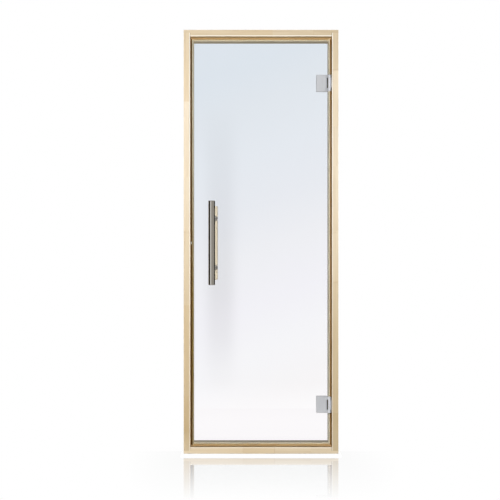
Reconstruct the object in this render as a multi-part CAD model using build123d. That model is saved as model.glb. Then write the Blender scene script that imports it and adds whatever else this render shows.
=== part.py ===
from build123d import *
import os

# Sauna door: an aspen frame rebated for a frameless glass leaf that swings out on two pivot hinges.
# Millimetres. X across the opening with the hinges at +X, Y from the front face to the back, Z up.
# The origin is the middle of the sill's underside, halfway through the depth of the frame.

# Frame
frame_width = 690.0
frame_height = 1890.0
frame_depth = 100.0
member_thickness = 41.0
face_width = 30.0
stop_depth = 49.0
joint_strip = 13.0
outer_round = 2.0
inner_round = 2.5
stop_round = 1.0

# Seal strip
seal_inset = 2.8
seal_tongue_width = 2.4
seal_tongue_length = 5.5
seal_base_width = 4.0
seal_base_thickness = 0.8
seal_bulb_width = 3.6
seal_height = 2.7
seal_side_clearance = 0.1
seal_end_clearance = 0.5
seal_mitre_gap = 0.2

# Glass leaf
glass_thickness = 8.0
glass_edge_gap = 5.0
glass_seal_gap = 0.3
glass_corner_radius = 3.0
glass_edge_chamfer = 1.0

# Hinges
lower_hinge_from_bottom = 214.0
upper_hinge_from_top = 232.0
pin_radius = 3.0
pin_wall_gap = 7.6
pin_glass_gap = 13.0
pin_head_radius = 4.4
pin_head_height = 1.2
pin_bore_clearance = 0.05
knuckle_radius = 6.4
middle_knuckle_height = 44.0
end_knuckle_height = 13.0
knuckle_gap = 1.0
washer_clearance = 0.1
leaf_thickness = 3.0
leaf_front_margin = 12.0
leaf_back_margin = 1.0
leaf_corner_radius = 3.0
leaf_recess_clearance = 0.2
leaf_web_thickness = 7.0
leaf_screw_radius = 2.2
leaf_screw_head_radius = 4.4
leaf_screw_edge = 8.0
plate_width = 47.5
plate_overhang = 1.5
plate_thickness = 6.0
plate_corner_radius = 2.0
plate_edge_chamfer = 1.2
plate_slot_width = 4.5
arm_root = 7.0
back_plate_thickness = 5.0
gasket_thickness = 1.0
gasket_margin = 0.6
gasket_knuckle_gap = 0.4
clamp_spacing = 44.0
clamp_side_offset = 3.0
clamp_boss_radius = 5.0
clamp_boss_end_gap = 0.5
clamp_screw_radius = 2.5
clamp_screw_head_radius = 5.0
clamp_screw_clearance = 0.1
clamp_thread_end = 2.0
clamp_socket_width = 4.0
clamp_socket_depth = 2.2
glass_hole_radius = 6.0

# Handle
handle_height = 940.0
handle_edge_distance = 105.0
handle_post_spacing = 220.0
tube_radius = 15.0
tube_wall = 1.5
tube_length = 370.0
tube_offset = 14.0
tube_standoff = 60.0
cap_thickness = 2.0
cap_plug_length = 12.0
cap_clearance = 0.1
cap_edge_chamfer = 0.8
post_radius = 7.0
post_foot_radius = 11.0
post_foot_height = 4.0
bolt_radius = 3.0
bolt_clearance = 0.2
bolt_thread_depth = 10.0
bolt_head_radius = 5.0
bolt_head_height = 5.0
bolt_socket_width = 5.0
bolt_socket_depth = 2.5
handle_washer_radius = 11.0
handle_washer_thickness = 1.5
spacer_radius = 8.0
spacer_length = 28.0
grip_width = 17.0
grip_depth = 28.0
grip_length = 335.0
grip_edge_radius = 4.0
grip_bore_clearance = 0.5
grip_head_seat = 14.0
grip_plug_thickness = 6.0

# Roller catch
catch_height = 940.0
catch_sleeve_radius = 8.0
catch_sleeve_length = 24.0
catch_roller_radius = 5.0
catch_roller_height = 10.5
catch_roller_stand_out = 3.8
catch_roller_clearance = 0.4
catch_axle_radius = 1.5
catch_axle_margin = 1.5
catch_glass_offset = 6.0

# Fixing screws through the jambs
fixing_hole_radius = 3.0
fixing_counterbore_radius = 6.0
fixing_counterbore_depth = 10.0
fixing_front_distance = 26.0
outer_fixing_from_end = 305.0
inner_fixing_from_end = 695.0

# Places worked out from the sizes above
front_y = -frame_depth / 2
back_y = frame_depth / 2
stop_y = back_y - stop_depth
rebate_x = frame_width / 2 - face_width
glass_back_y = stop_y - seal_height - glass_seal_gap
glass_front_y = glass_back_y - glass_thickness
glass_x = rebate_x - glass_edge_gap
glass_bottom = face_width + glass_edge_gap
glass_top = frame_height - glass_bottom
seal_line = member_thickness - seal_inset
mid_height = frame_height / 2

pin_x = rebate_x - pin_wall_gap
pin_y = glass_front_y - pin_glass_gap
hinge_height = middle_knuckle_height + 2 * (knuckle_gap + end_knuckle_height)
hinge_heights = {"lower": lower_hinge_from_bottom, "upper": frame_height - upper_hinge_from_top}
leaf_front_y = front_y + leaf_front_margin
leaf_back_y = stop_y - leaf_back_margin
plate_back_y = glass_front_y - gasket_thickness
plate_front_y = plate_back_y - plate_thickness
plate_right_x = pin_x - knuckle_radius - plate_slot_width
plate_left_x = plate_right_x - plate_width
plate_middle_x = (plate_left_x + plate_right_x) / 2
plate_height = hinge_height + 2 * plate_overhang
back_plate_front_y = glass_back_y + gasket_thickness
back_plate_back_y = back_plate_front_y + back_plate_thickness
clamp_x = plate_middle_x - clamp_side_offset

bolt_x = -(glass_x - handle_edge_distance)
post_heights = [handle_height + side * handle_post_spacing / 2 for side in (-1, 1)]
tube_x = bolt_x - tube_offset
tube_y = glass_front_y - tube_standoff
foot_y = glass_front_y - handle_washer_thickness
spacer_y = glass_back_y + handle_washer_thickness
grip_y = spacer_y + spacer_length

wall_x = -rebate_x
catch_x = wall_x + catch_roller_stand_out - catch_roller_radius
catch_y = glass_front_y + catch_glass_offset - catch_sleeve_radius

fixing_y = front_y + fixing_front_distance
fixing_heights = [
    height
    for distance in (outer_fixing_from_end, inner_fixing_from_end)
    for height in (distance, frame_height - distance)
]


def block(low, high):
    """A rectangular block between two opposite corners."""
    size = [h - l for l, h in zip(low, high)]
    return Pos(*low) * Box(*size, align=(Align.MIN, Align.MIN, Align.MIN))


def rod(start, direction, radius, length):
    """A round rod that grows from start along direction."""
    plane = Plane(origin=start, z_dir=direction)
    return extrude(plane * Circle(radius), length)


def cone(start, direction, bottom_radius, top_radius, length):
    """A cone frustum that grows from start along direction."""
    plane = Plane(origin=start, z_dir=direction)
    shape = Cone(bottom_radius, top_radius, length, align=(Align.CENTER, Align.CENTER, Align.MIN))
    return plane * shape


def hexagon(start, direction, width, length):
    """A hexagonal prism that grows from start along direction; width is across the flats."""
    plane = Plane(origin=start, z_dir=direction)
    return extrude(plane * RegularPolygon(width / 2, 6, major_radius=False), length)


# Frame members


def member_profile(rounded=True):
    """Section of every member: first coordinate inwards from the outside, second from front to back."""
    outline = Polyline(
        (0, front_y),
        (face_width, front_y),
        (face_width, stop_y),
        (member_thickness, stop_y),
        (member_thickness, back_y),
        (0, back_y),
        close=True,
    )
    face = make_face(outline)
    if not rounded:
        return face
    rounds = {
        (0, front_y): outer_round,
        (face_width, front_y): inner_round,
        (member_thickness, stop_y): stop_round,
        (member_thickness, back_y): outer_round,
        (0, back_y): outer_round,
    }
    for corner, radius in rounds.items():
        vertex = face.vertices().sort_by_distance((*corner, 0))[0]
        face = fillet(vertex, radius)
    return face


def jamb_solid(side, rounded=True):
    """An upright, standing between the strips of the sill and the head; side is 1 at the hinges."""
    length = frame_height - 2 * joint_strip
    plane = Plane(
        origin=(side * frame_width / 2, 0, joint_strip if side < 0 else frame_height - joint_strip),
        x_dir=(-side, 0, 0),
        z_dir=(0, 0, -side),
    )
    return extrude(plane * member_profile(rounded), length)


def rail_solid(side):
    """The sill with side -1 or the head with side 1, full width and notched round both uprights."""
    plane = Plane(
        origin=(-side * frame_width / 2, 0, 0 if side < 0 else frame_height),
        x_dir=(0, 0, -side),
        z_dir=(side, 0, 0),
    )
    rail = extrude(plane * member_profile(), frame_width)
    return rail - jamb_solid(-1, rounded=False) - jamb_solid(1, rounded=False)


def seal_groove():
    """The groove round the face of the stop, as one ring to take from every member."""
    half = seal_tongue_width / 2 + seal_side_clearance
    depth = seal_tongue_length + seal_end_clearance
    outer_x = frame_width / 2 - seal_line + half
    outer_z = seal_line - half
    inner_x = outer_x - 2 * half
    inner_z = outer_z + 2 * half
    outer = block((-outer_x, stop_y, outer_z), (outer_x, stop_y + depth, frame_height - outer_z))
    inner = block((-inner_x, stop_y, inner_z), (inner_x, stop_y + depth, frame_height - inner_z))
    return outer - inner


def leaf_recess(height):
    """The shallow housing in the rebate wall that a frame leaf of a hinge lies in."""
    grow = leaf_recess_clearance
    half = hinge_height / 2 + grow
    recess = block(
        (rebate_x, leaf_front_y - grow, height - half),
        (rebate_x + leaf_thickness, leaf_back_y + grow, height + half),
    )
    return fillet(recess.edges().filter_by(Axis.X), leaf_corner_radius + grow)


def fixing_holes(side):
    """Counterbored screw holes through the thin part of an upright, from the rebate wall outwards."""
    holes = []
    for height in fixing_heights:
        start = (side * rebate_x, fixing_y, height)
        holes.append(rod(start, (side, 0, 0), fixing_hole_radius, face_width))
        holes.append(rod(start, (side, 0, 0), fixing_counterbore_radius, fixing_counterbore_depth))
    return holes


def frame_members():
    groove = seal_groove()
    hinge_jamb = jamb_solid(1) - groove
    for height in hinge_heights.values():
        hinge_jamb -= leaf_recess(height)
    latch_jamb = jamb_solid(-1) - groove
    latch_jamb -= rod(
        (wall_x, catch_y, catch_height), (-1, 0, 0), catch_sleeve_radius, catch_sleeve_length
    )
    for hole in fixing_holes(1):
        hinge_jamb -= hole
    for hole in fixing_holes(-1):
        latch_jamb -= hole
    return {
        "sill": rail_solid(-1) - groove,
        "head": rail_solid(1) - groove,
        "hinge_jamb": hinge_jamb,
        "latch_jamb": latch_jamb,
    }


# Seal strips


def seal_profile():
    """Tongue, flat base and round bulb; the first coordinate is across, the second from front to back."""
    base_front = stop_y - seal_base_thickness
    bulb_radius = seal_bulb_width / 2
    bulb_centre = stop_y - seal_height + bulb_radius
    tongue = Pos(0, stop_y + seal_tongue_length / 2) * Rectangle(seal_tongue_width, seal_tongue_length)
    base = Pos(0, stop_y - seal_base_thickness / 2) * Rectangle(seal_base_width, seal_base_thickness)
    bulb = Pos(0, bulb_centre) * Circle(bulb_radius)
    behind = Pos(0, stop_y + seal_bulb_width / 2) * Rectangle(seal_base_width, seal_bulb_width)
    return tongue + base + (bulb - behind)


def seal_strip(middle, direction, inwards, length):
    """One strip centred on middle, its ends mitred where it meets the strips round the corners."""
    along = Vector(*direction)
    across = Vector(*inwards)
    start = Vector(*middle) - along * (length / 2)
    turned = Plane(origin=start, x_dir=across, z_dir=across.cross(Vector(0, 1, 0)))
    strip = extrude(turned * seal_profile(), length, dir=along)
    for end in (-1, 1):
        corner = Vector(*middle) + along * (end * (length / 2 - seal_base_width))
        corner -= along * (end * seal_mitre_gap / 2)
        mitre = Plane(origin=corner, z_dir=along * end + across)
        strip = split(strip, bisect_by=mitre, keep=Keep.BOTTOM)
    return strip


def seal_strips():
    """Four strips round the stop, lying half in its groove."""
    x = frame_width / 2 - seal_line
    low, high = seal_line, frame_height - seal_line
    tall = high - low + 2 * seal_base_width
    wide = 2 * x + 2 * seal_base_width
    return {
        "sill_seal": seal_strip((0, 0, low), (1, 0, 0), (0, 0, 1), wide),
        "head_seal": seal_strip((0, 0, high), (1, 0, 0), (0, 0, -1), wide),
        "hinge_side_seal": seal_strip((x, 0, mid_height), (0, 0, 1), (-1, 0, 0), tall),
        "latch_side_seal": seal_strip((-x, 0, mid_height), (0, 0, 1), (1, 0, 0), tall),
    }


# Glass leaf


def clamp_places(height):
    """Where the two clamp screws of a hinge pass through the glass."""
    return [(clamp_x, height + side * clamp_spacing / 2) for side in (-1, 1)]


def glass_pane():
    pane = block((-glass_x, glass_front_y, glass_bottom), (glass_x, glass_back_y, glass_top))
    pane = fillet(pane.edges().filter_by(Axis.Y), glass_corner_radius)
    rims = pane.faces().filter_by(Axis.Y).edges()
    pane = chamfer(rims, glass_edge_chamfer)
    holes = [(bolt_x, height) for height in post_heights]
    for height in hinge_heights.values():
        holes += clamp_places(height)
    for x, z in holes:
        pane -= rod((x, glass_front_y, z), (0, 1, 0), glass_hole_radius, glass_thickness)
    return pane


# Hinges


def frame_leaf(height):
    """Leaf let in flush with the rebate wall, a web and the middle knuckle, cast in one piece."""
    half = hinge_height / 2
    leaf = block(
        (rebate_x, leaf_front_y, height - half), (rebate_x + leaf_thickness, leaf_back_y, height + half)
    )
    leaf = fillet(leaf.edges().filter_by(Axis.X), leaf_corner_radius)
    half_knuckle = middle_knuckle_height / 2
    base = (pin_x, pin_y, height - half_knuckle)
    knuckle = rod(base, (0, 0, 1), knuckle_radius, middle_knuckle_height)
    web = block(
        (pin_x, pin_y - leaf_web_thickness / 2, height - half_knuckle),
        (rebate_x, pin_y + leaf_web_thickness / 2, height + half_knuckle),
    )
    leaf = leaf + knuckle + web
    leaf -= rod(base, (0, 0, 1), pin_radius + pin_bore_clearance, middle_knuckle_height)
    for y, z in leaf_screw_places(height):
        leaf -= rod((rebate_x, y, z), (1, 0, 0), leaf_screw_radius, leaf_thickness)
        sink = leaf_screw_head_radius - leaf_screw_radius
        leaf -= cone((rebate_x, y, z), (1, 0, 0), leaf_screw_head_radius, leaf_screw_radius, sink)
    return leaf


def leaf_screw_places(height):
    """Two screws before the knuckle and two behind it."""
    offset = hinge_height / 2 - leaf_screw_edge
    rows = (leaf_front_y + leaf_screw_edge, leaf_back_y - leaf_screw_edge)
    return [(y, height + side * offset) for y in rows for side in (-1, 1)]


def glass_leaf(height):
    """Front plate on the glass with an arm at its top and bottom that ends in a knuckle."""
    half = plate_height / 2
    plate = block(
        (plate_left_x, plate_front_y, height - half), (plate_right_x, plate_back_y, height + half)
    )
    corners = [e for e in plate.edges().filter_by(Axis.Y) if e.center().X < plate_middle_x]
    plate = fillet(corners, plate_corner_radius)
    plate = chamfer(plate.faces().sort_by(Axis.Y)[0].edges(), plate_edge_chamfer)
    arms = []
    half_knuckles = hinge_height / 2
    for low in (height + half_knuckles - end_knuckle_height, height - half_knuckles):
        circle = Pos(pin_x, pin_y) * Circle(knuckle_radius)
        root = Pos(plate_right_x - arm_root / 2, (plate_front_y + plate_back_y) / 2) * Rectangle(
            arm_root, plate_thickness
        )
        hull = make_hull((circle + root).edges())
        arms.append(Pos(0, 0, low) * extrude(hull, end_knuckle_height))
    leaf = plate + arms[0] + arms[1]
    for x, z in clamp_places(height):
        length = gasket_thickness * 2 + glass_thickness - clamp_boss_end_gap
        leaf += rod((x, plate_back_y, z), (0, 1, 0), clamp_boss_radius, length)
        depth = length + plate_thickness - clamp_thread_end
        start = (x, plate_back_y + length, z)
        leaf -= rod(start, (0, -1, 0), clamp_screw_radius + clamp_screw_clearance, depth)
    bore = (pin_x, pin_y, height - hinge_height / 2)
    return leaf - rod(bore, (0, 0, 1), pin_radius + pin_bore_clearance, hinge_height)


def hinge_pin(height):
    """Pin through all three knuckles, with a low head at both ends."""
    half = hinge_height / 2
    pin = rod((pin_x, pin_y, height - half), (0, 0, 1), pin_radius, hinge_height)
    for side in (-1, 1):
        end = (pin_x, pin_y, height + side * half)
        head = cone(end, (0, 0, side), pin_head_radius, pin_head_radius - pin_head_height / 2, pin_head_height)
        pin += head
    return pin


def hinge_washers(height):
    """A plain bearing ring in each gap between the knuckles."""
    thickness = knuckle_gap - 2 * washer_clearance
    rings = []
    for side in (-1, 1):
        middle = height + side * (middle_knuckle_height / 2 + knuckle_gap / 2)
        start = (pin_x, pin_y, middle - thickness / 2)
        ring = rod(start, (0, 0, 1), knuckle_radius - washer_clearance, thickness)
        rings.append(ring - rod(start, (0, 0, 1), pin_radius + pin_bore_clearance, thickness))
    return rings


def back_plate(height):
    """Clamping plate on the inside of the glass."""
    half = plate_height / 2
    plate = block(
        (plate_left_x, back_plate_front_y, height - half),
        (plate_right_x, back_plate_back_y, height + half),
    )
    plate = fillet(plate.edges().filter_by(Axis.Y), plate_corner_radius)
    plate = chamfer(plate.faces().sort_by(Axis.Y)[-1].edges(), plate_edge_chamfer)
    for x, z in clamp_places(height):
        start = (x, back_plate_back_y, z)
        hole = clamp_screw_radius + clamp_screw_clearance
        head = clamp_screw_head_radius + clamp_screw_clearance
        plate -= rod(start, (0, -1, 0), hole, back_plate_thickness)
        plate -= cone(start, (0, -1, 0), head, hole, head - hole)
    return plate


def gaskets(height):
    """Soft sheets that keep both plates off the glass; the front one also shows in the hinge's slot."""
    half = plate_height / 2 - gasket_margin
    sheets = []
    front_right_x = pin_x - knuckle_radius - gasket_knuckle_gap
    back_right_x = plate_right_x - gasket_margin
    for y, right_x in ((plate_back_y, front_right_x), (glass_back_y, back_right_x)):
        sheet = block(
            (plate_left_x + gasket_margin, y, height - half),
            (right_x, y + gasket_thickness, height + half),
        )
        for x, z in clamp_places(height):
            sheet -= rod((x, y, z), (0, 1, 0), glass_hole_radius, gasket_thickness)
        sheets.append(sheet)
    return sheets


def clamp_screws(height):
    """Countersunk socket screws from the inside plate into the bosses of the front plate."""
    depth = back_plate_back_y - plate_front_y - clamp_thread_end
    sink = clamp_screw_head_radius - clamp_screw_radius
    screws = []
    for x, z in clamp_places(height):
        start = (x, back_plate_back_y, z)
        shank = rod(start, (0, -1, 0), clamp_screw_radius, depth)
        head = cone(start, (0, -1, 0), clamp_screw_head_radius, clamp_screw_radius, sink)
        socket = hexagon(start, (0, -1, 0), clamp_socket_width, clamp_socket_depth)
        screws.append(shank + head - socket)
    return screws


# Handle


def handle_tube():
    bottom = (tube_x, tube_y, handle_height - tube_length / 2)
    outer = rod(bottom, (0, 0, 1), tube_radius, tube_length)
    return outer - rod(bottom, (0, 0, 1), tube_radius - tube_wall, tube_length)


def tube_cap(side):
    """Turned cap: a disc that covers the end of the tube and a plug inside it."""
    end = (tube_x, tube_y, handle_height + side * tube_length / 2)
    disc = rod(end, (0, 0, side), tube_radius, cap_thickness)
    disc = chamfer(disc.faces().sort_by(Axis.Z)[-1 if side > 0 else 0].edges(), cap_edge_chamfer)
    plug = rod(end, (0, 0, -side), tube_radius - tube_wall - cap_clearance, cap_plug_length)
    return disc + plug


def handle_post(height):
    """Post that leans from its foot on the glass to the side, saddle cut to the tube."""
    foot = rod((bolt_x, foot_y, height), (0, -1, 0), post_foot_radius, post_foot_height)
    foot = chamfer(foot.faces().sort_by(Axis.Y)[0].edges(), post_foot_height / 4)
    lean = Vector(tube_x - bolt_x, tube_y - foot_y, 0)
    start = (bolt_x, foot_y, height)
    shaft = rod(start, lean, post_radius, lean.length)
    behind = block(
        (bolt_x - post_foot_radius * 2, foot_y, height - post_foot_radius),
        (bolt_x + post_foot_radius * 2, back_y, height + post_foot_radius),
    )
    tube = rod((tube_x, tube_y, height - tube_radius), (0, 0, 1), tube_radius, 2 * tube_radius)
    post = foot + (shaft - behind - tube)
    return post - rod(start, (0, -1, 0), bolt_radius + bolt_clearance, bolt_thread_depth + bolt_clearance)


def bolt_back_y():
    return grip_y + grip_depth - grip_head_seat + bolt_head_height


def handle_bolt(height):
    """Socket cap screw from inside the grip through the glass into the post."""
    head_y = bolt_back_y() - bolt_head_height
    start = (bolt_x, head_y, height)
    shank = rod(start, (0, -1, 0), bolt_radius, head_y - foot_y + bolt_thread_depth)
    head = rod(start, (0, 1, 0), bolt_head_radius, bolt_head_height)
    top = (bolt_x, bolt_back_y(), height)
    return shank + head - hexagon(top, (0, -1, 0), bolt_socket_width, bolt_socket_depth)


def handle_washers(y):
    """Rings that keep steel off the glass, one at each post."""
    rings = []
    for height in post_heights:
        start = (bolt_x, y, height)
        ring = rod(start, (0, 1, 0), handle_washer_radius, handle_washer_thickness)
        rings.append(ring - rod(start, (0, 1, 0), bolt_radius + bolt_clearance, handle_washer_thickness))
    return rings


def grip_spacer(height):
    start = (bolt_x, spacer_y, height)
    spacer = rod(start, (0, 1, 0), spacer_radius, spacer_length)
    return spacer - rod(start, (0, 1, 0), bolt_radius + bolt_clearance, spacer_length)


def wooden_grip():
    """Bar with rounded edges, drilled from the back for the bolts and their heads."""
    half = grip_length / 2
    bar = block(
        (bolt_x - grip_width / 2, grip_y, handle_height - half),
        (bolt_x + grip_width / 2, grip_y + grip_depth, handle_height + half),
    )
    bar = fillet(bar.edges(), grip_edge_radius)
    for height in post_heights:
        start = (bolt_x, grip_y, height)
        bar -= rod(start, (0, 1, 0), bolt_radius + grip_bore_clearance, grip_depth)
        seat = (bolt_x, grip_y + grip_depth - grip_head_seat, height)
        bar -= rod(seat, (0, 1, 0), bolt_head_radius + grip_bore_clearance, grip_head_seat)
    return bar


def grip_plugs():
    """Wooden discs that close the screw holes in the back of the grip."""
    y = grip_y + grip_depth - grip_plug_thickness
    radius = bolt_head_radius + grip_bore_clearance
    return [rod((bolt_x, y, height), (0, 1, 0), radius, grip_plug_thickness) for height in post_heights]


# Roller catch


def catch_slot():
    """Room for the roller in the mouth of the sleeve."""
    radius = catch_roller_radius + catch_roller_clearance
    half = catch_roller_height / 2 + catch_roller_clearance
    room = rod((catch_x, catch_y, catch_height - half), (0, 0, 1), radius, 2 * half)
    mouth = block(
        (catch_x, catch_y - radius, catch_height - half), (wall_x, catch_y + radius, catch_height + half)
    )
    return room + mouth


def catch_sleeve():
    start = (wall_x, catch_y, catch_height)
    sleeve = rod(start, (-1, 0, 0), catch_sleeve_radius, catch_sleeve_length)
    return sleeve - catch_slot() - catch_axle()


def catch_axle():
    half = catch_roller_height / 2 + catch_roller_clearance + catch_axle_margin
    return rod((catch_x, catch_y, catch_height - half), (0, 0, 1), catch_axle_radius, 2 * half)


def catch_roller():
    """Roller that bears on the edge of the glass, standing out of the rebate wall."""
    start = (catch_x, catch_y, catch_height - catch_roller_height / 2)
    roller = rod(start, (0, 0, 1), catch_roller_radius, catch_roller_height)
    roller = chamfer(roller.edges(), catch_roller_radius / 8)
    return roller - rod(start, (0, 0, 1), catch_axle_radius + pin_bore_clearance, catch_roller_height)


def all_parts():
    parts = {**frame_members(), **seal_strips()}
    parts["glass_pane"] = glass_pane()
    for name, height in hinge_heights.items():
        parts[f"{name}_hinge_frame_leaf"] = frame_leaf(height)
        parts[f"{name}_hinge_glass_leaf"] = glass_leaf(height)
        parts[f"{name}_hinge_pin"] = hinge_pin(height)
        parts[f"{name}_hinge_washers"] = hinge_washers(height)
        parts[f"{name}_hinge_back_plate"] = back_plate(height)
        parts[f"{name}_hinge_gaskets"] = gaskets(height)
        parts[f"{name}_hinge_clamp_screws"] = clamp_screws(height)
    parts["handle_tube"] = handle_tube()
    parts["handle_bottom_cap"] = tube_cap(-1)
    parts["handle_top_cap"] = tube_cap(1)
    for name, height in zip(("lower", "upper"), post_heights):
        parts[f"{name}_handle_post"] = handle_post(height)
        parts[f"{name}_handle_bolt"] = handle_bolt(height)
        parts[f"{name}_grip_spacer"] = grip_spacer(height)
    parts["outer_handle_washers"] = handle_washers(foot_y)
    parts["inner_handle_washers"] = handle_washers(glass_back_y)
    parts["wooden_grip"] = wooden_grip()
    parts["grip_plugs"] = grip_plugs()
    parts["catch_sleeve"] = catch_sleeve()
    parts["catch_axle"] = catch_axle()
    parts["catch_roller"] = catch_roller()
    return parts


os.makedirs("parts", exist_ok=True)
for name, shape in all_parts().items():
    solids = shape if isinstance(shape, list) else shape.solids()
    node = solids[0] if len(solids) == 1 else Compound(children=list(solids))
    node.label = name
    export_step(node, f"parts/{name}.step")
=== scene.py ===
import math

import bmesh
import bpy
from mathutils import Matrix, Vector


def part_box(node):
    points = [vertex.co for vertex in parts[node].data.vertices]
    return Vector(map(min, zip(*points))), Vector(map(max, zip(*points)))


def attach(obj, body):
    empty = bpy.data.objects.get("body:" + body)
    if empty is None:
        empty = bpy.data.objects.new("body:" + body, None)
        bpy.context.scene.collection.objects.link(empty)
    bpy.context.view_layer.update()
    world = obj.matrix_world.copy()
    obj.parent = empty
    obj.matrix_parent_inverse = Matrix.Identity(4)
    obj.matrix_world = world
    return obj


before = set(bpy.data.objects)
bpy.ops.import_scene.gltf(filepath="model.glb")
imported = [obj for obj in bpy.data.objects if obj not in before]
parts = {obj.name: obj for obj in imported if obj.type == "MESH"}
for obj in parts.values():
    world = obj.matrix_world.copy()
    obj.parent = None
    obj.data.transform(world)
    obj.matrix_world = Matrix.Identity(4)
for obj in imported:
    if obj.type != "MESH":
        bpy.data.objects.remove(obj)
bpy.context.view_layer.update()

# Camera
# A long lens level with the middle of the door, square on to its front and a little to the left of its
# middle line, so that the right rebate shows wider than the left one.
camera_place = (-0.04925, -4.200, 0.9083)
camera_focal_length = 67.04
camera_sensor = 36.0

camera_data = bpy.data.cameras.new("camera")
camera_data.lens = camera_focal_length
camera_data.sensor_width = camera_sensor
camera = bpy.data.objects.new("camera", camera_data)
camera.location = camera_place
camera.rotation_euler = (math.radians(90), 0, 0)
bpy.context.scene.collection.objects.link(camera)
bpy.context.scene.camera = camera
bpy.context.scene.view_settings.view_transform = "Standard"

# Studio
# A white room. Through the glass shows a backdrop, pale blue above and warm white below, with a painted
# soft shadow of the handle on it, drawn by direction and not cast. Steel sees bright walls with dark
# gaps beside them and round the camera.
# A softbox stands in front at chest height, and narrow lamps at both sides, overhead and behind.
world_white = (1.0, 1.0, 1.0, 1.0)
black = (0.0, 0.0, 0.0, 1.0)
ambient_colour = (0.05, 0.05, 0.055, 1.0)
sky_heights = (0.40, 0.42, 0.447, 0.473, 0.50, 0.527, 0.553, 0.58, 0.60)
sky_colours = (
    (1.05, 1.025, 1.035, 1.0),
    (1.03, 1.005, 1.015, 1.0),
    (1.02, 1.01, 1.035, 1.0),
    (0.985, 0.971, 1.018, 1.0),
    (0.95, 0.949, 0.986, 1.0),
    (0.892, 0.909, 0.961, 1.0),
    (0.867, 0.90, 0.956, 1.0),
    (0.833, 0.874, 0.930, 1.0),
    (0.805, 0.860, 0.927, 1.0),
)
sky_slope = 0.20
sky_turn = 0.016
sky_turn_limit = 0.08
# A painted soft shadow of the handle on the backdrop, set by direction, which the handle doesn't cast.
shadow_place = -0.0317
shadow_reach = (0.004, 0.0237)
shadow_heights = (0.422, 0.441, 0.452, 0.478, 0.511, 0.554, 0.578)
shadow_levels = (0.0, 0.055, 0.09, 0.13, 0.10, 0.055, 0.0)
front_stops = (0.0, 0.085, 0.105, 0.22, 0.28, 0.45, 0.54, 0.60, 0.75, 0.94, 0.975, 1.0)
cool_white = (1.27, 1.34, 1.47, 1.0)
front_levels = (0.0, 0.0, cool_white, cool_white, 1.34, 1.56, 1.15, 0.46, 0.52, 1.20, 0.1, 0.0)
camera_dark_width = (0.09, 0.11)
camera_dark_height = (0.24, 0.30)
back_stops = (0.0, 0.26, 0.32, 0.66, 0.74, 1.0)
back_levels = (0.0, 0.0, 1.0, 1.0, 0.0, 0.0)
ceiling_white = (0.90, 0.90, 0.90, 1.0)
dark_band_height = 0.13
front_to_back = 0.25
lamp_colour = (1.0, 0.99, 0.98)
lamps = (
    ("key_light", (0.0, -2.65, 1.02), (-0.05, 0.0, 1.02), 0.25, 0.6, 71.0),
    ("right_light", (4.0, 0.0, 1.0), (0.0, 0.0, 1.0), 0.08, 2.4, 110.0),
    ("left_light", (-4.0, 0.0, 1.0), (0.0, 0.0, 1.0), 0.08, 2.4, 110.0),
    ("top_light", (0.0, 0.0, 4.5), (0.0, 0.0, 0.0), 0.9, 0.05, 50.0),
    ("back_light", (0.0, 9.0, 1.0), (0.0, 0.0, 1.0), 1.0, 1.0, 800.0),
)


def node(tree, kind, feeds=None, **settings):
    """Add a shader node, set its options, and fill or link its inputs."""
    made = tree.nodes.new(kind)
    for name, value in settings.items():
        setattr(made, name, value)
    for name, value in (feeds or {}).items():
        socket = made.inputs[name]
        if isinstance(value, bpy.types.NodeSocket):
            tree.links.new(value, socket)
        else:
            socket.default_value = value
    return made


def sums(tree, operation, *terms):
    """One step of arithmetic on numbers or sockets."""
    made = node(tree, "ShaderNodeMath", dict(enumerate(terms)), operation=operation)
    return made.outputs[0]


def split(tree, vector):
    """A vector's x, y and z."""
    return node(tree, "ShaderNodeSeparateXYZ", {0: vector}).outputs


def fading(tree, value, start, end, first=0.0, last=1.0, curve="LINEAR"):
    """A level that goes from first to last while the value goes from start to end."""
    made = node(
        tree,
        "ShaderNodeMapRange",
        {"Value": value, "From Min": start, "From Max": end, "To Min": first, "To Max": last},
        interpolation_type=curve,
    )
    return made.outputs["Result"]


def blend_colours(tree, share, first, second, mode="MIX"):
    """Two colours or sockets mixed by a share, or multiplied."""
    made = node(tree, "ShaderNodeMix", data_type="RGBA", blend_type=mode)
    for place, value in ((0, share), (6, first), (7, second)):
        if isinstance(value, bpy.types.NodeSocket):
            tree.links.new(value, made.inputs[place])
        else:
            made.inputs[place].default_value = value
    return made.outputs[2]


def ramp(tree, value, stops, colours, interpolation="LINEAR"):
    """Colours, or levels of grey, at stops from 0 to 1."""
    made = node(tree, "ShaderNodeValToRGB", {"Fac": value})
    made.color_ramp.interpolation = interpolation
    steps = made.color_ramp.elements
    steps.remove(steps[-1])
    steps[0].position = stops[0]
    for stop in stops[1:]:
        steps.new(stop)
    for step, colour in zip(steps, colours):
        step.color = colour if isinstance(colour, tuple) else (colour, colour, colour, 1.0)
    return made.outputs["Color"]


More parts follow.
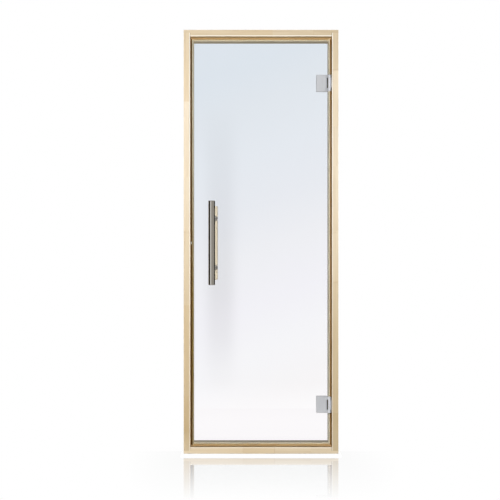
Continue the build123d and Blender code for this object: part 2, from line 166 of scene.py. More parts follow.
def light_the_studio():
    """What the camera, the steel, the glass and the soft bounce of light see round the door."""
    world = bpy.data.worlds.new("studio")
    bpy.context.scene.world = world
    world.use_nodes = True
    world.cycles.sampling_method = "NONE"
    tree = world.node_tree
    tree.nodes.clear()
    x, y, z = split(tree, node(tree, "ShaderNodeTexCoord").outputs["Generated"])
    half_x = sums(tree, "MULTIPLY_ADD", x, 0.5, 0.5)
    half_z = sums(tree, "MULTIPLY_ADD", z, 0.5, 0.5)
    turn = node(
        tree,
        "ShaderNodeClamp",
        {"Value": x, "Min": -sky_turn_limit, "Max": sky_turn_limit},
    ).outputs[0]
    lift = sums(tree, "MULTIPLY", sums(tree, "SUBTRACT", turn, sky_turn), sky_slope)
    sky = ramp(tree, sums(tree, "SUBTRACT", half_z, lift), sky_heights, sky_colours)
    front = ramp(tree, half_x, front_stops, front_levels)
    back = ramp(tree, half_x, back_stops, back_levels)
    beside = sums(tree, "ABSOLUTE", x)
    above = sums(tree, "ABSOLUTE", z)
    behind = fading(tree, y, -front_to_back, front_to_back)
    off_level = fading(tree, above, dark_band_height, 2 * dark_band_height)
    seen_glossy = blend_colours(tree, behind, front, back)
    seen_glossy = blend_colours(tree, off_level, seen_glossy, ceiling_white)
    lit = sums(
        tree,
        "MAXIMUM",
        fading(tree, beside, *camera_dark_width),
        fading(tree, above, *camera_dark_height),
    )
    lit = sums(tree, "MAXIMUM", lit, behind)
    seen_glossy = blend_colours(tree, lit, black, seen_glossy)
    # The handle's painted shadow darkens the backdrop.
    off_shadow = sums(tree, "ABSOLUTE", sums(tree, "SUBTRACT", x, shadow_place))
    shadow = fading(tree, off_shadow, *shadow_reach, 1.0, 0.0, "SMOOTHSTEP")
    shadow = sums(tree, "MULTIPLY", shadow, ramp(tree, half_z, shadow_heights, shadow_levels))
    shadow = sums(tree, "MULTIPLY", shadow, behind)
    sky = blend_colours(tree, shadow, sky, black)
    path = node(tree, "ShaderNodeLightPath")
    mirrored = sums(tree, "GREATER_THAN", path.outputs["Glossy Depth"], 0.5)
    seen = blend_colours(tree, mirrored, sky, seen_glossy)
    seen = blend_colours(tree, path.outputs["Is Diffuse Ray"], seen, ambient_colour)
    seen = blend_colours(tree, path.outputs["Is Camera Ray"], seen, world_white)
    background = node(tree, "ShaderNodeBackground", {"Color": seen, "Strength": 1.0})
    node(tree, "ShaderNodeOutputWorld", {"Surface": background.outputs[0]})


def softbox(name, place, aim, width, height, power):
    """An area lamp, its power in watts, that shows neither to the camera nor in reflections."""
    data = bpy.data.lights.new(name, "AREA")
    data.shape = "RECTANGLE"
    data.size = width
    data.size_y = height
    data.energy = power
    data.color = lamp_colour
    lamp = bpy.data.objects.new(name, data)
    lamp.location = place
    if aim[:2] != place[:2]:
        lamp.rotation_euler = (Vector(aim) - Vector(place)).to_track_quat("-Z", "Y").to_euler()
    lamp.visible_camera = False
    lamp.visible_glossy = False
    lamp.visible_transmission = False
    bpy.context.scene.collection.objects.link(lamp)


light_the_studio()
for lamp_row in lamps:
    softbox(*lamp_row)

# Floor
# A white glossy sheet a little below the sill. It mirrors the foot of the door at about half strength,
# and the picture in it fades to plain white away from the frame. Steel and glass mirror it as a
# greyer floor with a dark lane in front of the door.
floor_height = -0.010
floor_low = (-3.0, -3.0)
floor_high = (3.0, 1.2)
glass_sky = (1.015, 0.985, 1.0, 1.0)
mirror_strength = 0.60
mirror_start = 0.046
mirror_reach = 0.734
mirror_roughness = 0.02
mirror_loss_behind = 0.75
beside_stretch = 3.0
behind_stretch = 7.0
glow_loss = 0.93
lane_ahead = (0.3, 2.2)
lane_beside = (0.1, 0.6)
lane_dark = 0.90
floor_dark = 0.10
frame_width = 0.690
face_y = -0.050


def own_place(tree):
    """The place of a point on the piece, in the frame that all pieces share."""
    return node(tree, "ShaderNodeTexCoord").outputs["Object"]


def white_floor():
    """The sheet, whose white glows by itself and whose mirror fades with the distance."""
    bpy.ops.object.select_all(action="DESELECT")
    bpy.ops.mesh.primitive_plane_add(size=1.0)
    sheet = bpy.context.object
    sheet.name = "floor"
    for corner in sheet.data.vertices:
        x = floor_low[0] if corner.co.x < 0 else floor_high[0]
        y = floor_low[1] if corner.co.y < 0 else floor_high[1]
        corner.co = (x, y, floor_height)
    material = bpy.data.materials.new("white_floor")
    material.use_nodes = True
    tree = material.node_tree
    tree.nodes.clear()
    x, y = split(tree, own_place(tree))[:2]
    side = sums(tree, "ABSOLUTE", x)
    beside = sums(tree, "SUBTRACT", side, frame_width / 2)
    ahead = sums(tree, "SUBTRACT", sums(tree, "MULTIPLY", y, -1.0), -face_y)
    behind = sums(tree, "SUBTRACT", y, -face_y)
    before = sums(tree, "MAXIMUM", ahead, sums(tree, "MULTIPLY", behind, behind_stretch))
    outside = node(
        tree,
        "ShaderNodeCombineXYZ",
        {
            0: sums(tree, "MAXIMUM", sums(tree, "MULTIPLY", beside, beside_stretch), 0.0),
            1: sums(tree, "MAXIMUM", before, 0.0),
        },
    ).outputs[0]
    away = node(tree, "ShaderNodeVectorMath", {0: outside}, operation="LENGTH").outputs["Value"]
    fade = fading(tree, away, mirror_start, mirror_reach, mirror_strength, 0.0)
    fade = sums(tree, "MULTIPLY", fade, sums(tree, "GREATER_THAN", away, mirror_start))
    at_back = sums(tree, "GREATER_THAN", y, -face_y)
    kept = sums(tree, "MULTIPLY_ADD", at_back, -mirror_loss_behind, 1.0)
    fade = sums(tree, "MULTIPLY", fade, kept)
    path = node(tree, "ShaderNodeLightPath")
    glow = sums(tree, "MULTIPLY_ADD", path.outputs["Is Diffuse Ray"], -glow_loss, 1.0)
    bounced = sums(tree, "GREATER_THAN", path.outputs["Glossy Depth"], 0.5)
    lane = sums(
        tree,
        "MULTIPLY",
        fading(tree, ahead, *lane_ahead),
        fading(tree, beside, *lane_beside, 1.0, 0.0),
    )
    dark = sums(tree, "MULTIPLY_ADD", lane, -lane_dark, -floor_dark)
    glow = sums(tree, "MULTIPLY_ADD", bounced, dark, glow)
    glow = sums(tree, "MAXIMUM", glow, 0.0)
    passed = blend_colours(tree, path.outputs["Is Transmission Ray"], world_white, glass_sky)
    white = node(tree, "ShaderNodeEmission", {"Color": passed, "Strength": glow})
    mirror = node(
        tree, "ShaderNodeBsdfGlossy", {"Color": world_white, "Roughness": mirror_roughness}
    )
    surface = node(tree, "ShaderNodeMixShader", {0: fade, 1: white.outputs[0], 2: mirror.outputs[0]})
    node(tree, "ShaderNodeOutputMaterial", {"Surface": surface.outputs[0]})
    sheet.data.materials.append(material)


white_floor()

# Frame members
# Planed aspen with its arrises rounded and left untreated. Each member is glued up from short lengths
# of different tone with finger joints, a straight line on the face and a zigzag on the sides. Round the
# rebate, light and shade are painted: pale arrises, a dark inner edge on the uprights, gold and brown
# walls, dark corners at the stop and darker insides of the rails' stop.
frame_height = 1.890
rebate_inset = 0.030
stop_y = 0.001
finger_length = 0.010
finger_pitch = 0.004
joint_line = 0.0005
joint_darkening = 0.35
joint_groove = 0.8
light_board = (0.95, 0.86, 0.708, 1.0)
dark_board = (0.535, 0.43, 0.263, 1.0)
warm_tint = (1.06, 1.0, 0.90, 1.0)
lean_range = 20.0
board_step = 0.37
board_shift = 3.7
face_grain = 0.85
grain_colour = (0.50, 0.34, 0.17, 1.0)
streak_stretch = (70.0, 70.0, 2.2)
fine_stretch = (420.0, 420.0, 9.0)
dash_stretch = (1100.0, 1100.0, 60.0)
cloud_stretch = (16.0, 16.0, 6.0)
ring_stretch = (1.0, 1.0, 0.045)
ring_spacing = 46.0
pore_levels = (0.60, 0.72)
streak_levels = (0.40, 0.75)
streak_share = 0.30
ring_share = 0.16
fine_share = 0.35
cloud_share = 0.35
pore_share = 0.12
noise_middle = 0.45
wood_roughness = 0.49
roughness_spread = 0.12
wood_sheen = 0.12
wood_relief = (0.35, 0.0002)
sawn_light = (0.66, 0.52, 0.34, 1.0)
sawn_dark = (0.42, 0.30, 0.17, 1.0)
sawn_rings = 90.0
sawn_slack = 0.0002
sawn_pores = (1500.0, 1500.0, 1500.0)
# Painted highlight: a pale band on the face along the inner arrises, stronger towards the top.
arris_start = 0.0014
arris_end = 0.0052
arris_highlight_colour = (1.0, 0.96, 0.86, 1.0)
arris_highlight_heights = (0.6, 1.5)
arris_highlight_shares = (0.45, 0.9)
arris_depth = 0.0028
# Painted shade: the rebate's walls in gold and brown, darker deeper in on the uprights; on the rails
# darker at the front and gold in the middle.
jamb_wall_shade_front = (0.45, 0.26, 0.07, 1.0)
jamb_wall_shade_deep = (0.31, 0.155, 0.015, 1.0)
# Painted shade: a dark line on the face along the uprights' inner edge, on the latch side only above
# about a metre.
jamb_edge_shade = (0.20, 0.10, 0.02, 1.0)
edge_width = 0.0014
edge_shade_share = 0.95
edge_heights = (0.90, 1.05)
wall_start = 0.0018
wall_slack = 0.0003
wall_shade_share = 0.9
jamb_depths = (0.1, 0.45)
rail_wall_shade_front = (0.37, 0.205, 0.07, 1.0)
rail_wall_shade_middle = (1.0, 0.70, 0.33, 1.0)
rail_wall_shade_back = (0.95, 0.62, 0.28, 1.0)
rail_depths = (0.3, 0.52, 0.95)
# Painted shade in the corners where the stop meets the rebate's wall.
latch_corner_shade = (0.07, 0.03, 0.006, 1.0)
hinge_corner_shade = (0.22, 0.10, 0.02, 1.0)
rail_corner_shade = (0.45, 0.33, 0.165, 1.0)
# Painted shade on the inner faces of the head's and the sill's stop, darker at the back of the sill.
soffit_shade_colour = (0.36, 0.31, 0.21, 1.0)
soffit_back_shade = (0.22, 0.17, 0.09, 1.0)
soffit_back_start = 0.030
soffit_shade_share = 0.85
soffit_shade_share_above = 0.60
soffit_margin = 0.0005
latch_gap_width = 0.0065
latch_gap_taper = 0.00105
gap_width = 0.0032
seat_reach = 0.0006
stop_depth = 0.011


def scaled(tree, vector, sizes):
    """A vector stretched by a size along each axis."""
    made = node(tree, "ShaderNodeVectorMath", {0: vector, 1: sizes}, operation="MULTIPLY")
    return made.outputs[0]


def stretched_noise(tree, vector, sizes, detail):
    """Noise from 0 to 1, finer along an axis the larger its size."""
    feeds = {"Vector": scaled(tree, vector, sizes), "Scale": 1.0, "Detail": detail, "Roughness": 0.55}
    return node(tree, "ShaderNodeTexNoise", feeds).outputs["Fac"]


def new_group(name, inputs, outputs):
    """A shader node group; inputs and outputs map names to socket kinds."""
    tree = bpy.data.node_groups.new(name, "ShaderNodeTree")
    for label, kind in inputs.items():
        tree.interface.new_socket(name=label, in_out="INPUT", socket_type="NodeSocket" + kind)
    for label, kind in outputs.items():
        tree.interface.new_socket(name=label, in_out="OUTPUT", socket_type="NodeSocket" + kind)
    return tree, node(tree, "NodeGroupInput").outputs


def aspen_group():
    """Colour, roughness and height of aspen whose grain runs along the vector's Z."""
    tree, given = new_group(
        "aspen_grain",
        {
            "Vector": "Vector",
            "Board": "Float",
            "Tone": "Float",
            "Warmth": "Float",
            "Joint": "Float",
            "Grain": "Float",
        },
        {"Color": "Color", "Roughness": "Float", "Height": "Float"},
    )
    shift = sums(tree, "MULTIPLY", given["Board"], board_shift)
    moved = node(
        tree, "ShaderNodeVectorMath", {0: given["Vector"], 1: shift}, operation="ADD"
    ).outputs[0]
    streaks = stretched_noise(tree, moved, streak_stretch, 3.0)
    fine = stretched_noise(tree, moved, fine_stretch, 3.0)
    dashes = stretched_noise(tree, moved, dash_stretch, 1.0)
    clouds = stretched_noise(tree, moved, cloud_stretch, 2.0)
    rings = node(
        tree,
        "ShaderNodeTexWave",
        {
            "Vector": scaled(tree, moved, ring_stretch),
            "Scale": ring_spacing,
            "Distortion": 5.0,
            "Detail": 2.0,
            "Detail Scale": 1.5,
        },
        wave_type="BANDS",
        bands_direction="X",
    ).outputs["Fac"]
    pores = fading(tree, dashes, *pore_levels)
    bands = fading(tree, streaks, *streak_levels)
    late = sums(tree, "MULTIPLY", sums(tree, "POWER", rings, 3.0), ring_share)
    share = sums(tree, "MULTIPLY_ADD", bands, streak_share, late)
    off_fine = sums(tree, "MULTIPLY", sums(tree, "SUBTRACT", fine, noise_middle), fine_share)
    off_cloud = sums(tree, "MULTIPLY", sums(tree, "SUBTRACT", clouds, noise_middle), cloud_share)
    share = sums(tree, "ADD", sums(tree, "ADD", share, off_fine), off_cloud)
    share = sums(tree, "ADD", share, sums(tree, "MULTIPLY", pores, pore_share))
    share = sums(tree, "MULTIPLY", share, given["Grain"])
    share = sums(tree, "ADD", share, sums(tree, "MULTIPLY", given["Joint"], joint_darkening))
    share = node(tree, "ShaderNodeClamp", {"Value": share}).outputs[0]
    colour = blend_colours(tree, given["Tone"], light_board, dark_board)
    colour = blend_colours(tree, given["Warmth"], colour, warm_tint, "MULTIPLY")
    colour = blend_colours(tree, share, colour, grain_colour)
    rough = sums(tree, "MULTIPLY_ADD", fine, roughness_spread, wood_roughness)
    height = sums(tree, "MULTIPLY_ADD", fine, 0.6, sums(tree, "MULTIPLY", pores, -0.5))
    height = sums(tree, "ADD", height, sums(tree, "MULTIPLY", given["Joint"], -joint_groove))
    node(tree, "NodeGroupOutput", {"Color": colour, "Roughness": rough, "Height": height})
    return tree


aspen_grain = aspen_group()


def new_material(name):
    """A material with one Principled BSDF wired to its output."""
    material = bpy.data.materials.new(name)
    material.use_nodes = True
    tree = material.node_tree
    tree.nodes.clear()
    shader = node(tree, "ShaderNodeBsdfPrincipled")
    node(tree, "ShaderNodeOutputMaterial", {"Surface": shader.outputs[0]})
    return material, tree, shader


def finish_surface(tree, shader, colour, rough, height=None, relief=None):
    """Wire colour and roughness to a shader, and a relief, given as its strength and its depth."""
    tree.links.new(colour, shader.inputs["Base Color"])
    tree.links.new(rough, shader.inputs["Roughness"])
    if relief:
        feeds = {"Height": height, "Strength": relief[0], "Distance": relief[1]}
        tree.links.new(node(tree, "ShaderNodeBump", feeds).outputs[0], shader.inputs["Normal"])


def finish_wood(tree, shader, boards, colour):
    """Planed wood: hardly any sheen, and pores and joints a little sunk."""
    shader.inputs["Specular IOR Level"].default_value = wood_sheen
    rough, height = boards.outputs["Roughness"], boards.outputs["Height"]
    finish_surface(tree, shader, colour, rough, height, wood_relief)


def aspen_material(name, upright, lengths):
    """Aspen for one member; each length gives a board's start, its tone at either end and its warmth."""
    material, tree, shader = new_material(name)
    place = own_place(tree)
    x, y, z = split(tree, place)
    start, whole = (0.0, frame_height) if upright else (-frame_width / 2, frame_width)
    along = z if upright else x
    grain_way = place
    if not upright:
        grain_way = node(tree, "ShaderNodeCombineXYZ", {0: z, 1: y, 2: x}).outputs[0]
    fingers = sums(tree, "PINGPONG", y, finger_pitch / 2)
    along = sums(tree, "MULTIPLY_ADD", fingers, 2 * finger_length / finger_pitch, along)
    along = sums(tree, "DIVIDE", sums(tree, "SUBTRACT", along, start), whole)
    starts = [(length[0] - start) / whole for length in lengths]
    tones = []
    marks = []
    for count, (length, low, high) in enumerate(zip(lengths, starts, starts[1:] + [1.0])):
        lean = (length[2] - length[1]) / (high - low)
        tones.append(((length[1] + length[2]) / 2, 0.5 + lean / lean_range, (low + high) / 2, 1.0))
        marks.append((length[3], board_step * count % 1, 0.0, 1.0))
    tones = ramp(tree, along, starts, tones, "CONSTANT")
    marks = ramp(tree, along, starts, marks, "CONSTANT")
    middle_tone, lean, middle = node(tree, "ShaderNodeSeparateColor", {0: tones}).outputs
    warmth, board = node(tree, "ShaderNodeSeparateColor", {0: marks}).outputs[:2]
    lean = sums(tree, "MULTIPLY", sums(tree, "SUBTRACT", lean, 0.5), lean_range)
    tone = sums(tree, "MULTIPLY_ADD", sums(tree, "SUBTRACT", along, middle), lean, middle_tone)
    half_line = joint_line / whole
    line_stops = [0.0]
    line_levels = [0.0]
    for joint in starts[1:]:
        line_stops += [joint - half_line, joint, joint + half_line]
        line_levels += [0.0, 1.0, 0.0]
    joint = ramp(tree, along, line_stops, line_levels)
    boards = node(
        tree,
        "ShaderNodeGroup",
        {
            "Vector": grain_way,
            "Board": board,
            "Tone": tone,
            "Warmth": warmth,
            "Joint": joint,
            "Grain": face_grain,
        },
        node_tree=aspen_grain,
    )
    colour = paint_rebate_light_and_shade(tree, upright, x, y, z, boards.outputs["Color"])
    if not upright:
        colour = end_grain(tree, x, y, z, colour)
    finish_wood(tree, shader, boards, colour)
    return material


def paint_rebate_light_and_shade(tree, upright, x, y, z, colour):
    """Painted highlight on the inner arrises, and painted shade on the inner edges, rebate walls and
    corners.
    """
    if upright:
        inset = sums(tree, "SUBTRACT", sums(tree, "ABSOLUTE", x), frame_width / 2 - rebate_inset)
    else:
        off = sums(tree, "ABSOLUTE", sums(tree, "SUBTRACT", z, frame_height / 2))
        inset = sums(tree, "SUBTRACT", off, frame_height / 2 - rebate_inset)
    # Painted highlight along the inner arrises of the face, stronger higher up.
    near = sums(tree, "COMPARE", inset, (arris_start + arris_end) / 2, (arris_end - arris_start) / 2)
    front = sums(tree, "LESS_THAN", y, face_y + arris_depth)
    highlight_share = fading(tree, z, *arris_highlight_heights, *arris_highlight_shares)
    arris_highlight = sums(tree, "MULTIPLY", sums(tree, "MULTIPLY", near, front), highlight_share)
    colour = blend_colours(tree, arris_highlight, colour, arris_highlight_colour)
    on_left = sums(tree, "LESS_THAN", x, 0.0)
    if upright:
        # Painted shade: a dark line along the inner edge of the uprights' faces.
        height = fading(tree, z, *edge_heights)
        height = sums(tree, "MAXIMUM", height, sums(tree, "GREATER_THAN", x, 0.0))
        edge_shade = sums(tree, "MULTIPLY", sums(tree, "LESS_THAN", inset, edge_width), front)
        edge_shade = sums(tree, "MULTIPLY", sums(tree, "MULTIPLY", edge_shade, height), edge_shade_share)
        colour = blend_colours(tree, edge_shade, colour, jamb_edge_shade)
    # Painted shade: the walls of the rebate in gold and brown.
    wall = sums(tree, "LESS_THAN", inset, wall_slack)
    deep = sums(tree, "GREATER_THAN", y, face_y + wall_start)
    before = sums(tree, "LESS_THAN", y, stop_y - wall_slack)
    cut = sums(tree, "MULTIPLY", sums(tree, "MULTIPLY", wall, deep), before)
    inwards = fading(tree, y, face_y, stop_y)
    tones = (jamb_wall_shade_front, jamb_wall_shade_deep) if upright else (rail_wall_shade_front, rail_wall_shade_middle, rail_wall_shade_back)
    depths = jamb_depths if upright else rail_depths
    wall_shade = blend_colours(tree, wall_shade_share, colour, ramp(tree, inwards, depths, tones))
    colour = blend_colours(tree, cut, colour, wall_shade)
    # Painted shade: dark corners where the stop meets the wall, wider towards the floor on the latch
    # side.
    wide = sums(tree, "MULTIPLY_ADD", z, latch_gap_taper, -latch_gap_width)
    slot = node(tree, "ShaderNodeMix", {0: on_left, 2: -gap_width, 3: wide}).outputs[0]
    corner = sums(tree, "MULTIPLY", sums(tree, "GREATER_THAN", inset, slot), wall)
    corner = sums(tree, "MULTIPLY", corner, sums(tree, "COMPARE", y, stop_y, seat_reach))
    if upright:
        dark = blend_colours(tree, on_left, hinge_corner_shade, latch_corner_shade)
        return blend_colours(tree, corner, colour, dark)
    colour = blend_colours(tree, corner, colour, rail_corner_shade)
    # Painted shade on the inner faces of the rails' stop.
    soffit = sums(tree, "LESS_THAN", inset, wall_slack - stop_depth)
    past_stop = sums(tree, "GREATER_THAN", y, stop_y + soffit_margin)
    soffit = sums(tree, "MULTIPLY", soffit, past_stop)
    before_back = sums(tree, "LESS_THAN", y, -face_y - soffit_margin)
    soffit = sums(tree, "MULTIPLY", soffit, before_back)
    above = sums(tree, "GREATER_THAN", z, frame_height / 2)
    strength = sums(tree, "MULTIPLY_ADD", above, soffit_shade_share_above - soffit_shade_share, soffit_shade_share)
    behind = sums(tree, "GREATER_THAN", sums(tree, "SUBTRACT", y, above), soffit_back_start)
    shade = blend_colours(tree, behind, soffit_shade_colour, soffit_back_shade)
    return blend_colours(tree, sums(tree, "MULTIPLY", soffit, strength), colour, shade)


def end_grain(tree, x, y, z, colour):
    """Darker sawn ends with growth rings, at both ends of a rail."""
    centre = node(tree, "ShaderNodeCombineXYZ", {0: 0.0, 1: y, 2: z}).outputs[0]
    rings = node(
        tree,
        "ShaderNodeTexWave",
        {
            "Vector": centre,
            "Scale": sawn_rings,
            "Distortion": 3.0,
            "Detail": 2.0,
            "Detail Scale": 2.0,
        },
        wave_type="RINGS",
        rings_direction="X",
    ).outputs["Fac"]
    pores = stretched_noise(tree, centre, sawn_pores, 2.0)
    share = sums(tree, "MULTIPLY_ADD", rings, 0.25, sums(tree, "MULTIPLY", pores, 0.5))
    sawn = blend_colours(tree, share, sawn_light, sawn_dark)
    side = sums(tree, "ABSOLUTE", x)
    at_end = sums(tree, "GREATER_THAN", side, frame_width / 2 - sawn_slack)
    return blend_colours(tree, at_end, colour, sawn)


def dress(name, material):
    """Give a CAD node its finished material."""
    slots = parts[name].data.materials
    slots.clear()
    slots.append(material)


latch_boards = (
    (0.0, 0.58, 0.96, 0.65),
    (0.106, 0.97, 0.84, 0.85),
    (0.262, 0.82, 0.78, 0.70),
    (0.665, 0.68, 0.50, 0.35),
    (0.997, 0.43, 0.27, 0.25),
    (1.238, 0.20, 0.01, 0.30),
    (1.577, 0.23, 0.34, 0.90),
)
hinge_boards = (
    (0.0, 0.88, 0.99, 0.0),
    (0.186, 0.89, 0.85, 0.0),
    (0.545, 0.85, 0.71, 0.0),
    (0.775, 0.67, 0.47, 0.0),
    (0.997, 0.51, 0.30, 0.0),
    (1.287, 0.19, 0.31, 0.0),
    (1.465, 0.32, 0.22, 0.30),
    (1.720, 0.45, 0.46, 0.55),
)
head_boards = (
    (-0.345, 0.37, 0.46, 0.75),
    (-0.090, 0.50, 0.53, 0.85),
    (0.060, 0.46, 0.54, 0.50),
    (0.245, 0.49, 0.57, 0.50),
)
sill_boards = (
    (-0.345, 0.24, 0.46, 0.90),
    (-0.070, 0.54, 0.54, 1.00),
    (0.070, 0.44, 0.51, 0.65),
    (0.230, 0.49, 0.44, 0.50),
)
dress("latch_jamb", aspen_material("aspen_latch_jamb", True, latch_boards))
dress("hinge_jamb", aspen_material("aspen_hinge_jamb", True, hinge_boards))
dress("head", aspen_material("aspen_head", False, head_boards))
dress("sill", aspen_material("aspen_sill", False, sill_boards))

# Seal strips
# Soft pale silicone strips, whose bulb meets the closed glass, pressed into the groove round the stop
# and mitred at the corners. The strip on the latch side is darker towards the floor, in painted shade.
seal_colour = (0.73, 0.725, 0.61, 1.0)
seal_dark = (0.62, 0.61, 0.51, 1.0)
seal_foot = (0.84, 0.73, 0.51, 1.0)
# Painted shade: the latch side's strip grows darker towards the floor.
latch_seal_shade = (0.28, 0.19, 0.04, 1.0)
latch_foot_shade = (0.26, 0.15, 0.015, 1.0)
foot_edge = (0.0076, 0.0084)
latch_shade_heights = (0.75, 1.70)
strip_width = 0.012
seal_mottle = (90.0, 90.0, 90.0)
seal_grain = (1800.0, 1800.0, 1800.0)
seal_roughness = 0.42
seal_relief = (0.2, 0.0001)
rebate_half_width = frame_width / 2 - rebate_inset
rebate_half_height = frame_height / 2 - rebate_inset


def seal_material():
    """Silicone with a paler foot, both darker in painted shade on the latch side the lower they are."""
    material, tree, shader = new_material("seal_silicone")
    place = own_place(tree)
    x, _, z = split(tree, place)
    mottle = stretched_noise(tree, place, seal_mottle, 3.0)
    grain = stretched_noise(tree, place, seal_grain, 2.0)
    share = sums(tree, "MULTIPLY_ADD", mottle, 0.8, sums(tree, "MULTIPLY", grain, 0.2))
    middle = sums(tree, "ABSOLUTE", sums(tree, "SUBTRACT", z, frame_height / 2))
    beside = sums(tree, "SUBTRACT", rebate_half_width, sums(tree, "ABSOLUTE", x))
    inwards = sums(tree, "MINIMUM", beside, sums(tree, "SUBTRACT", rebate_half_height, middle))
    foot = fading(tree, inwards, *foot_edge, 1.0, 0.0)
    # Painted shade on the latch side, darker lower down.
    latch_shade = fading(tree, z, *latch_shade_heights, 1.0, 0.0)
    latch_side = sums(tree, "LESS_THAN", x, strip_width - rebate_half_width)
    latch_shade = sums(tree, "MULTIPLY", latch_shade, latch_side)
    bulb = blend_colours(tree, latch_shade, blend_colours(tree, share, seal_colour, seal_dark), latch_seal_shade)
    colour = blend_colours(tree, foot, bulb, blend_colours(tree, latch_shade, seal_foot, latch_foot_shade))
    rough = sums(tree, "MULTIPLY_ADD", grain, 0.15, seal_roughness)
    finish_surface(tree, shader, colour, rough, grain, seal_relief)
    return material


silicone = seal_material()
for strip in ("sill_seal", "head_seal", "hinge_side_seal", "latch_side_seal"):
    dress(strip, silicone)

# Glass pane
# One sheet of 8 mm clear toughened glass. Its edges are ground matt, and its holes for the hinges and
# the handle are drilled before it is toughened.
glass_tint = (0.975, 0.985, 0.985, 1.0)
ground_tint = (0.74, 0.88, 0.82, 1.0)
ground_roughness = 0.35
ground_width = 0.0012
glass_index = 1.5
glass_gap = 0.005
glass_half_width = rebate_half_width - glass_gap
glass_half_height = rebate_half_height - glass_gap


def glass_material():
    """Clear glass that lets the lamps' light through, greener and matt at its ground edges."""
    material, tree, shader = new_material("clear_glass")
    x, _, z = split(tree, own_place(tree))
    side = sums(tree, "ABSOLUTE", x)
    height = sums(tree, "ABSOLUTE", sums(tree, "SUBTRACT", z, frame_height / 2))
    beside = sums(tree, "GREATER_THAN", side, glass_half_width - ground_width)
    above = sums(tree, "GREATER_THAN", height, glass_half_height - ground_width)
    ground = sums(tree, "MAXIMUM", beside, above)
    tree.links.new(blend_colours(tree, ground, glass_tint, ground_tint), shader.inputs["Base Color"])
    tree.links.new(sums(tree, "MULTIPLY", ground, ground_roughness), shader.inputs["Roughness"])
    shader.inputs["IOR"].default_value = glass_index
    shader.inputs["Transmission Weight"].default_value = 1.0
    path = node(tree, "ShaderNodeLightPath")
    through = sums(tree, "MAXIMUM", path.outputs["Is Shadow Ray"], path.outputs["Is Diffuse Ray"])
    clear = node(tree, "ShaderNodeBsdfTransparent", {"Color": glass_tint})
    mixed = node(
        tree, "ShaderNodeMixShader", {0: through, 1: shader.outputs[0], 2: clear.outputs[0]}
    )
    output = next(n for n in tree.nodes if n.type == "OUTPUT_MATERIAL")
    tree.links.new(mixed.outputs[0], output.inputs["Surface"])
    return material


dress("glass_pane", glass_material())

# Hinges
# Cast stainless hinges with a satin blasted finish: a plate on the glass with two arms, a leaf let into
# the upright, a pin, thin nylon rings between the knuckles and rubber sheets against the glass.
satin_light = (0.86, 0.87, 0.895, 1.0)
satin_dark = (0.72, 0.73, 0.755, 1.0)
# A painted highlight on the hinge's barrel, in a brighter colour than the satin.
barrel_highlight_steel = (0.97, 0.98, 1.0, 1.0)
barrel_x = 0.3074
barrel_y = -0.023
barrel_radius = 0.0065
blast_grain = (900.0, 900.0, 900.0)
blast_cloud = (120.0, 120.0, 120.0)
satin_roughness = 0.34
satin_relief = (0.25, 0.00008)
rubber_light = (0.04, 0.04, 0.042, 1.0)
rubber_dark = (0.018, 0.018, 0.019, 1.0)
rubber_grain = (1400.0, 1400.0, 1400.0)
rubber_relief = (0.3, 0.0001)
nylon_light = (0.66, 0.67, 0.66, 1.0)
nylon_dark = (0.54, 0.55, 0.54, 1.0)
nylon_mottle = (260.0, 260.0, 260.0)


def satin_material():
    """Blasted steel, turned smoother round the hinge's barrel, with a painted highlight in a brighter
    colour there.
    """
    material, tree, shader = new_material("satin_steel")
    place = own_place(tree)
    x, y = split(tree, place)[:2]
    blast = stretched_noise(tree, place, blast_grain, 3.0)
    cloud = stretched_noise(tree, place, blast_cloud, 2.0)
    share = sums(tree, "MULTIPLY_ADD", blast, 0.6, sums(tree, "MULTIPLY", cloud, 0.4))
    # The barrel is turned smoother, and its brighter colour is a painted highlight.
    across = sums(tree, "COMPARE", x, barrel_x, barrel_radius)
    turned_and_highlit = sums(tree, "MULTIPLY", across, sums(tree, "COMPARE", y, barrel_y, barrel_radius))
    satin = blend_colours(tree, share, satin_light, satin_dark)
    satin = blend_colours(tree, turned_and_highlit, satin, barrel_highlight_steel)
    shader.inputs["Metallic"].default_value = 1.0
    rough = sums(tree, "MULTIPLY_ADD", blast, 0.16, satin_roughness)
    rough = sums(tree, "MULTIPLY_ADD", turned_and_highlit, -0.10, rough)
    finish_surface(tree, shader, satin, rough, blast, satin_relief)
    return material


satin_steel = satin_material()


def rubber_material():
    """Matt black sheet rubber."""
    material, tree, shader = new_material("black_rubber")
    grain = stretched_noise(tree, own_place(tree), rubber_grain, 2.0)
    colour = blend_colours(tree, grain, rubber_dark, rubber_light)
    rough = sums(tree, "MULTIPLY_ADD", grain, 0.2, 0.6)
    finish_surface(tree, shader, colour, rough, grain, rubber_relief)
    return material


def nylon_material():
    """Pale grey nylon, smooth as moulded."""
    material, tree, shader = new_material("nylon")
    mottle = stretched_noise(tree, own_place(tree), nylon_mottle, 3.0)
    colour = blend_colours(tree, mottle, nylon_light, nylon_dark)
    finish_surface(tree, shader, colour, sums(tree, "MULTIPLY_ADD", mottle, 0.15, 0.35))
    return material


black_rubber = rubber_material()
nylon = nylon_material()
for side in ("lower", "upper"):
    for piece in ("glass_leaf", "frame_leaf", "pin", "back_plate", "clamp_screws"):
        dress(f"{side}_hinge_{piece}", satin_steel)
    dress(f"{side}_hinge_gaskets", black_rubber)
    dress(f"{side}_hinge_washers", nylon)

# Hinge leaf screws
# Four countersunk stainless wood screws with six-lobed drives hold each leaf in its housing in the
# upright. Their heads lie flush with the leaf.
leaf_thickness = 0.003
screw_edge = 0.008
screw_radius = 0.0041
screw_rim = 0.0004
screw_dome = 0.00015
screw_head_depth = 0.0020
drive_radius = 0.0021
drive_depth = 0.0013
drive_waist = 0.74
screw_sides = 24
facing = 0.9
sorting_way = Vector((1.0, 1.37, 2.19))


def choose_faces(shape, test):
    """Select only the faces whose middle and normal pass a test, in edit mode."""
    bpy.ops.mesh.select_all(action="DESELECT")
    edit = bmesh.from_edit_mesh(shape.data)
    for face in edit.faces:
        face.select_set(bool(test(face.calc_center_median(), face.normal)))
    bmesh.update_edit_mesh(shape.data)


